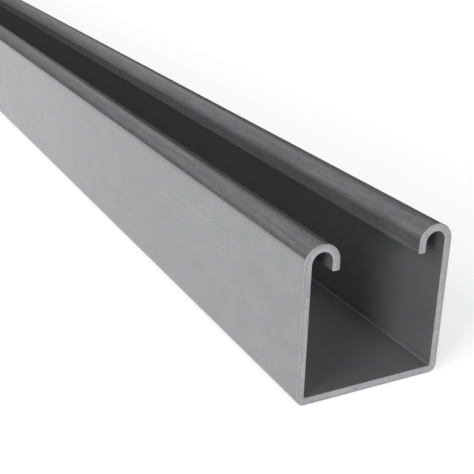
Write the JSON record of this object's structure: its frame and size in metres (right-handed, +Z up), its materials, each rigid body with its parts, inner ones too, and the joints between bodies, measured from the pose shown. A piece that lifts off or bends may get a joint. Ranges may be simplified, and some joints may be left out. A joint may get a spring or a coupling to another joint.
{
  "type": "strut channel",
  "caption": "Plain galvanised steel strut channel: a square C section with a continuous slot along the top, between two hooks that turn in to hold channel nuts and clamps.",
  "frame": {"origin": "on the underside of the web, in the middle of its length and width", "axes": "+X along the stock, +Y across it, +Z up from the web to the slot"},
  "size_m": [1, 0.0412, 0.0413],
  "materials": {
    "galvanised_steel": "satin"
  },
  "bodies": {
    "root": {"channel": "galvanised_steel"}
  },
  "joints": []
}
